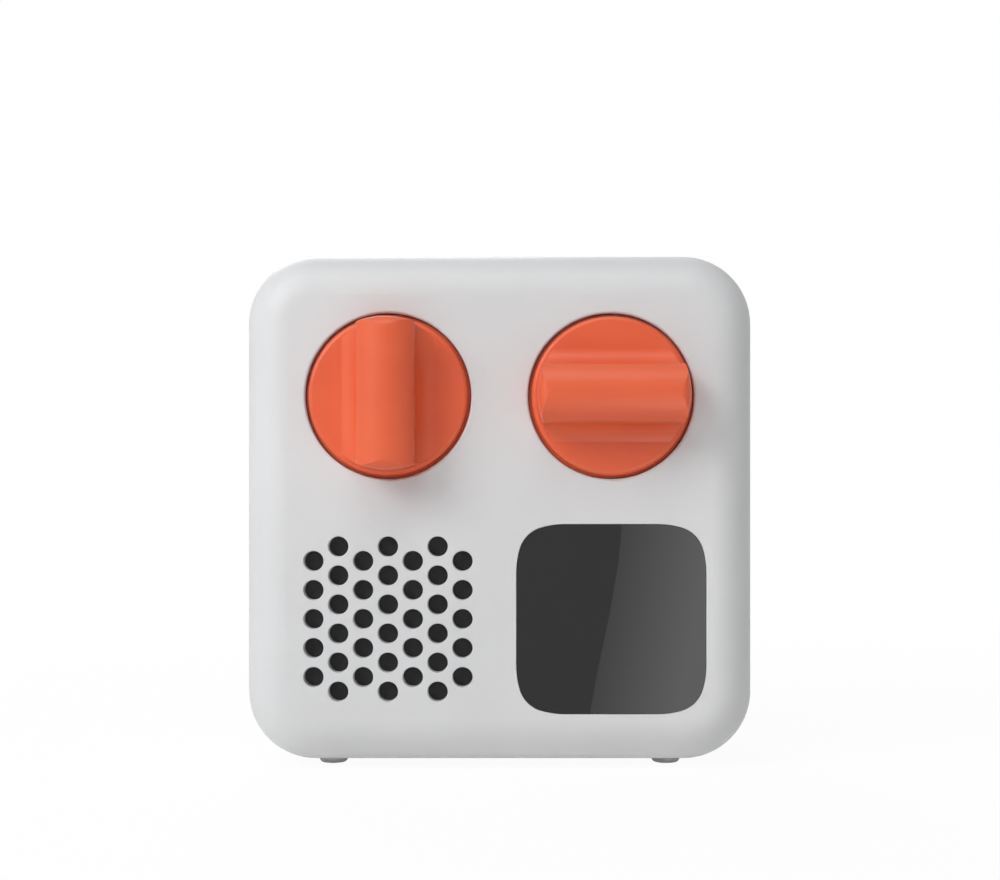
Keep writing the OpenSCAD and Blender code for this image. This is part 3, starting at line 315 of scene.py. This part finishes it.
# laminated foil of the battery pouch: soft wrinkles under a clear nylon skin, with painted shade darker in
# the wrinkles' troughs
def wrinkledFoil(name, look):
    material, place = startMaterial(name)
    folds = addNode(material, "ShaderNodeTexNoise",
                    {"Scale": 1.0 / look["wrinkle"], "Detail": 2.0, "Distortion": 0.6}, {"Vector": place})
    # painted shade: the colour follows the bump, darker in the wrinkles' troughs and lighter on their crests
    tint = addNode(material, "ShaderNodeValToRGB",
                   {"stops": ((noiseLow, look["low"]), (noiseHigh, look["high"]))},
                   {"Fac": folds.outputs["Fac"]})
    bump = addNode(material, "ShaderNodeBump",
                   {"Strength": 0.5, "Distance": look["depth"]}, {"Height": folds.outputs["Fac"]})
    return closeMaterial(material,
                         {"Metallic": 0.85, "Roughness": 0.33, "Coat Weight": 0.3, "Coat Roughness": 0.2},
                         {"Base Color": tint.outputs["Color"], "Normal": bump.outputs["Normal"]})


foilLook = {"low": "#A3A8AE", "high": "#BCC1C6", "wrinkle": 0.004, "depth": 0.00012}
dress(wrinkledFoil("laminatedFoil", foilLook), "pouch")


# glass-epoxy board: green solder mask, lighter and proud where copper tracks lie under it
def solderMask(name, look):
    material, place = startMaterial(name)
    tracks = addNode(material, "ShaderNodeTexVoronoi",
                     {"feature": "F2", "distance": "MANHATTAN", "Scale": 1.0 / look["track"]},
                     {"Vector": place})
    edge = addNode(material, "ShaderNodeMapRange",
                   {"From Min": look["edge"][0], "From Max": look["edge"][1]}, {"Value": tracks.outputs[0]})
    weave = addNode(material, "ShaderNodeTexNoise", {"Scale": 1.0 / look["weave"]}, {"Vector": place})
    fill = addNode(material, "ShaderNodeMath", {"operation": "MULTIPLY_ADD", 1: look["weaveShare"]},
                   {0: weave.outputs["Fac"], 2: edge.outputs["Result"]})
    tint = addNode(material, "ShaderNodeValToRGB",
                   {"stops": ((0.0, look["low"]), (1.0, look["high"]))}, {"Fac": fill.outputs[0]})
    bump = addNode(material, "ShaderNodeBump",
                   {"Strength": 0.4, "Distance": look["depth"]}, {"Height": edge.outputs["Result"]})
    return closeMaterial(material, {"Roughness": 0.28, "IOR": 1.55},
                         {"Base Color": tint.outputs["Color"], "Normal": bump.outputs["Normal"]})


boardLook = {
    "low": "#0B3B22",
    "high": "#1F6A3C",
    "track": 0.0022,         # from one track's middle to the next
    "edge": (0.75, 0.85),    # where along that way the mask steps up onto the copper
    "weave": 0.0005,
    "weaveShare": 0.25,      # how much of the glass cloth shows through the mask
    "depth": 0.00003,
}
dress(solderMask("greenSolderMask", boardLook), "circuit_board")
print("inner materials done")


def justThis(obj):
    bpy.ops.object.select_all(action="DESELECT")
    obj.select_set(True)
    bpy.context.view_layer.objects.active = obj


# speaker cloth: a square of plain weave stretched behind the grille,
# cut out round the speaker's four screw posts
cloth = {
    "pitch": 0.00065,        # drawn coarser than a real cloth's 0.3 mm so that it shows through the holes
    "relief": 0.00006,
    "thickness": 0.00010,
    "corner": 0.004,
    "post": 0.0112,          # the posts' distance from the middle, across and up
    "postHole": 0.0016,      # radius
    "slack": 0.00001,        # so that points just on a corner's edge stay
    # low is painted shade between the filaments, high the filaments' tops
    "low": "#28282A",
    "high": "#3C3C3E",
    "filaments": 3.0,        # in a thread
    "filamentDepth": 0.00003,
}


# black polyester, plain weave: a trace of sheen on each filament, with painted shade darker between the
# filaments
def wovenPolyester(name):
    material, place = startMaterial(name)
    upright = addNode(material, "ShaderNodeTexWave",
                      {"wave_type": "BANDS", "bands_direction": "X",
                       "Scale": waveLength * cloth["filaments"] / cloth["pitch"]}, {"Vector": place})
    level = addNode(material, "ShaderNodeTexWave",
                    {"wave_type": "BANDS", "bands_direction": "Z",
                     "Scale": waveLength * cloth["filaments"] / cloth["pitch"]}, {"Vector": place})
    both = addNode(material, "ShaderNodeMath", {"operation": "MULTIPLY"},
                   {0: upright.outputs["Fac"], 1: level.outputs["Fac"]})
    # painted shade: the colour follows the bump, darker between the filaments and lighter on their crossings
    tint = addNode(material, "ShaderNodeValToRGB",
                   {"stops": ((0.1, cloth["low"]), (0.9, cloth["high"]))}, {"Fac": both.outputs[0]})
    bump = addNode(material, "ShaderNodeBump",
                   {"Strength": 0.6, "Distance": cloth["filamentDepth"]}, {"Height": both.outputs[0]})
    return closeMaterial(material, {"Roughness": 0.75, "Sheen Weight": 0.15, "Sheen Roughness": 0.5},
                         {"Base Color": tint.outputs["Color"], "Normal": bump.outputs["Normal"]})


def makeCloth():
    low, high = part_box("grille_cloth")
    middle = (low + high) / 2.0
    half = (high.x - low.x) / 2.0
    step = cloth["pitch"] / 2.0
    count = round(half / step)
    bpy.ops.object.select_all(action="DESELECT")
    bpy.ops.mesh.primitive_grid_add(x_subdivisions=2 * count, y_subdivisions=2 * count, size=2.0 * half,
                                    location=middle, rotation=(math.radians(90.0), 0.0, 0.0))
    obj = bpy.context.active_object
    obj.name = "speakerCloth"
    bpy.ops.object.transform_apply(location=True, rotation=True, scale=True)
    bpy.ops.object.mode_set(mode="EDIT")
    bpy.ops.mesh.select_mode(type="VERT")

    def choose(test):
        mesh = bmesh.from_edit_mesh(obj.data)
        bpy.ops.mesh.select_all(action="DESELECT")
        for v in mesh.verts:
            v.select = test(v.co.x - middle.x, v.co.z - middle.z)
        mesh.select_flush_mode()
        bmesh.update_edit_mesh(obj.data)

    def cutAway(x, z):
        straight = half - cloth["corner"]
        beyond = math.hypot(max(abs(x) - straight, 0.0), max(abs(z) - straight, 0.0))
        return (beyond > cloth["corner"] + cloth["slack"]
                or math.hypot(abs(x) - cloth["post"], abs(z) - cloth["post"]) < cloth["postHole"])

    choose(cutAway)
    bpy.ops.mesh.delete(type="VERT")
    flatArea = sum(face.calc_area() for face in bmesh.from_edit_mesh(obj.data).faces)
    for side in (0, 2):                # crossings with the upright thread in front, then those with it behind
        choose(lambda x, z: round(x / step) % 2 == 0 and round(z / step) % 2 == 0
               and (round(x / step) + round(z / step)) % 4 == side)
        bpy.ops.transform.translate(value=(0.0, (side - 1) * cloth["relief"], 0.0))
    bpy.ops.object.mode_set(mode="OBJECT")
    wall = obj.modifiers.new("clothThickness", "SOLIDIFY")
    wall.thickness = cloth["thickness"]
    wall.offset = 0.0
    soft = obj.modifiers.new("softThreads", "SUBSURF")
    soft.levels = soft.render_levels = 1
    justThis(obj)
    bpy.ops.object.modifier_apply(modifier=wall.name)
    bpy.ops.object.modifier_apply(modifier=soft.name)
    bpy.ops.object.shade_smooth()
    obj.data.materials.append(wovenPolyester("wovenPolyester"))
    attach(obj, "housing")
    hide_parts("grille_cloth")
    print("speaker cloth woven:", len(obj.data.polygons), "faces")


makeCloth()


# gold-plated contacts on both sides of the charging port's tongue
contacts = {
    "count": 12,
    "pitch": 0.0005,
    "width": 0.00026,
    "length": 0.0034,
    "proud": 0.00003,
    "inset": 0.0006,         # behind the tongue's tip
    "edge": 0.00002,
}

# gold flash over nickel: deep yellow, smooth
goldLook = {"low": "#D9A93F", "high": "#EBC564", "mark": 0.0002, "stretch": (6.0, 1.0, 1.0), "rough": 0.22}


def makeContacts():
    low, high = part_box("charging_tongue")
    middleZ = (low.z + high.z) / 2.0
    middleX = high.x - contacts["inset"] - contacts["length"] / 2.0
    made = []
    for y in (low.y, high.y):
        for k in range(contacts["count"]):
            z = middleZ + (k - (contacts["count"] - 1) / 2.0) * contacts["pitch"]
            bpy.ops.object.select_all(action="DESELECT")
            bpy.ops.mesh.primitive_cube_add(
                size=1.0, location=(middleX, y, z),
                scale=(contacts["length"], 2.0 * contacts["proud"], contacts["width"]))
            bpy.ops.object.transform_apply(location=True, rotation=True, scale=True)
            made.append(bpy.context.active_object)
    justThis(made[0])
    for strip in made:
        strip.select_set(True)
    bpy.ops.object.join()
    obj = made[0]
    obj.name = "chargingContacts"
    edge = obj.modifiers.new("softEdges", "BEVEL")
    edge.width = contacts["edge"]
    edge.segments = 2
    justThis(obj)
    bpy.ops.object.modifier_apply(modifier=edge.name)
    obj.data.materials.clear()
    obj.data.materials.append(worked("goldFlash", goldLook))
    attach(obj, "housing")


makeContacts()
print("charging contacts placed")


# snap domes under the shafts, each a copy of its part with the doubled points merged; in the player a dome
# goes flat onto its seat as its knob is pressed, here it stays domed
dome = {
    "flat": 0.19,            # share of its height that is left, its own thickness
    "merge": 0.000001,       # points closer than this are one point
}


def makeDome(side):
    justThis(nodes[side + "_click_dome"])
    bpy.ops.object.duplicate()
    obj = bpy.context.active_object
    obj.name = side + "SnapDome"
    bpy.ops.object.mode_set(mode="EDIT")
    bpy.ops.mesh.select_all(action="SELECT")
    bpy.ops.mesh.remove_doubles(threshold=dome["merge"])
    bpy.ops.object.mode_set(mode="OBJECT")
    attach(obj, "housing")
    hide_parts(side + "_click_dome")
    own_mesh(obj)


for side in ("left", "right"):
    makeDome(side)
print("snap domes fitted")


# 1 where the eye looks at it, straight, in a reflection or through something clear,
# and 0 for the light that it throws on the object
def lookedAt(material):
    ray = addNode(material, "ShaderNodeLightPath")
    seen = addNode(material, "ShaderNodeMath", {"operation": "MAXIMUM"},
                   {0: ray.outputs["Is Camera Ray"], 1: ray.outputs["Is Glossy Ray"]})
    through = addNode(material, "ShaderNodeMath", {"operation": "MAXIMUM"},
                      {0: seen.outputs[0], 1: ray.outputs["Is Transmission Ray"]})
    return through.outputs[0]


# matt white painted floor: nearly plain white to the eye, with the object's faint shadow near the box
floorSet = {
    "paint": "#FFFFFF",
    "size": 8.0,
    "near": 0.06,            # from the middle of the floor
    "far": 0.30,
    "whiteNear": 0.95,       # share of plain white, the rest is lit paint
    "whiteFar": 1.0,
}


def matteWhite(name):
    material, place = startMaterial(name)
    matte = addNode(material, "ShaderNodeBsdfDiffuse", {"Color": linear(floorSet["paint"])})
    white = addNode(material, "ShaderNodeEmission", {"Color": plainWhite, "Strength": 1.0})
    away = addNode(material, "ShaderNodeVectorMath", {"operation": "LENGTH"}, {0: place})
    whiter = addNode(material, "ShaderNodeMapRange",
                     {"From Min": floorSet["near"], "From Max": floorSet["far"],
                      "To Min": floorSet["whiteNear"], "To Max": floorSet["whiteFar"]},
                     {"Value": away.outputs["Value"]})
    share = addNode(material, "ShaderNodeMath", {"operation": "MULTIPLY"},
                    {0: lookedAt(material), 1: whiter.outputs["Result"]})
    mix = addNode(material, "ShaderNodeMixShader",
                  links={0: share.outputs[0], 1: matte.outputs[0], 2: white.outputs[0]})
    addNode(material, "ShaderNodeOutputMaterial", links={"Surface": mix.outputs[0]})
    return material


def layFloor():
    bpy.ops.object.select_all(action="DESELECT")
    bpy.ops.mesh.primitive_plane_add(size=floorSet["size"], location=(0.0, 0.0, 0.0))
    floor = bpy.context.active_object
    floor.name = "paleFloor"
    floor.data.materials.append(matteWhite("matteWhiteFloor"))


layFloor()

# soft air all round, a little weaker behind the object than in front of it, and a white backdrop
airSet = {"front": 0.29, "back": 0.22}


def fillAir():
    studio = bpy.data.worlds.new("studioAir")
    emptyNodes(studio)
    towards = addNode(studio, "ShaderNodeTexCoord").outputs["Generated"]
    depth = addNode(studio, "ShaderNodeVectorMath", {"operation": "DOT_PRODUCT", 1: (0.0, 1.0, 0.0)},
                    {0: towards})
    level = addNode(studio, "ShaderNodeMapRange",
                    {"From Min": -1.0, "To Min": airSet["front"], "To Max": airSet["back"]},
                    {"Value": depth.outputs["Value"]})
    air = addNode(studio, "ShaderNodeBackground", {"Color": plainWhite},
                  {"Strength": level.outputs["Result"]})
    backdrop = addNode(studio, "ShaderNodeBackground", {"Color": plainWhite, "Strength": 1.0})
    mix = addNode(studio, "ShaderNodeMixShader",
                  links={0: lookedAt(studio), 1: air.outputs[0], 2: backdrop.outputs[0]})
    addNode(studio, "ShaderNodeOutputWorld", links={"Surface": mix.outputs[0]})
    scene.world = studio


fillAir()

# softboxes, each turned to the middle of the front face
softboxSize = 0.42
lamps = {
    "keySoftbox": {"place": (-0.490, -0.502, 0.436), "watts": 2.70},
    "upperSoftbox": {"place": (-0.288, -0.554, 0.550), "watts": 0.42},
    "sideSoftbox": {"place": (-0.628, -0.305, 0.436), "watts": 0.32},
    "topSoftbox": {"place": (-0.035, -0.411, 0.729), "watts": 1.26},
    "rearSoftbox": {"place": (-0.180, 0.660, 0.520), "watts": 2.10},
}


def hangSoftbox(name, lampSet):
    data = bpy.data.lights.new(name, "AREA")
    data.shape = "DISK"
    data.size = softboxSize
    data.energy = lampSet["watts"]
    lamp = bpy.data.objects.new(name, data)
    lamp.location = lampSet["place"]
    target = Vector((0.0, faceY, cameraSet["height"]))
    lamp.rotation_euler = (target - lamp.location).to_track_quat("-Z", "Y").to_euler()
    lamp.visible_camera = False
    scene.collection.objects.link(lamp)


for name, lampSet in lamps.items():
    hangSoftbox(name, lampSet)

# reflector: a graded white card that shows only as a reflection, over the right part of the lens
reflector = {
    "ahead": 0.050,          # in front of the face
    "left": (0.0207, 0.0199, 0.0184, 0.0166, 0.0150),      # its left edge, from the top down
    "right": 0.048,
    "top": 0.0350,
    "bottom": 0.0008,
    "lean": 0.17,            # how far the grading leans with height
    "dimAt": 0.0150,
    "brightAt": 0.0300,
    "dim": 1.55,
    "bright": 3.1,
}


def gradedCard(name):
    material, place = startMaterial(name)
    across = addNode(material, "ShaderNodeVectorMath",
                     {"operation": "DOT_PRODUCT", 1: (1.0, 0.0, -reflector["lean"])}, {0: place})
    level = addNode(material, "ShaderNodeMapRange",
                    {"From Min": reflector["dimAt"], "From Max": reflector["brightAt"],
                     "To Min": reflector["dim"], "To Max": reflector["bright"]},
                    {"Value": across.outputs["Value"]})
    glow = addNode(material, "ShaderNodeEmission", links={"Strength": level.outputs["Result"]})
    addNode(material, "ShaderNodeOutputMaterial", links={"Surface": glow.outputs[0]})
    return material


def standReflector():
    rows = len(reflector["left"]) - 1
    bpy.ops.object.select_all(action="DESELECT")
    bpy.ops.mesh.primitive_grid_add(x_subdivisions=1, y_subdivisions=rows, size=1.0,
                                    location=(0.5, 0.0, -0.5), rotation=(math.radians(90.0), 0.0, 0.0))
    panel = bpy.context.active_object
    panel.name = "reflectorCard"
    bpy.ops.object.transform_apply(location=True, rotation=True, scale=True)
    for v in panel.data.vertices:
        row = round(-v.co.z * rows)
        v.co.x = reflector["right"] if v.co.x > 0.5 else reflector["left"][row]
        v.co.y = faceY - reflector["ahead"]
        v.co.z = reflector["top"] + (reflector["bottom"] - reflector["top"]) * row / rows
    panel.data.materials.append(gradedCard("gradedCard"))
    panel.visible_camera = panel.visible_diffuse = False
    panel.visible_transmission = panel.visible_shadow = False


standReflector()
print("studio lit")
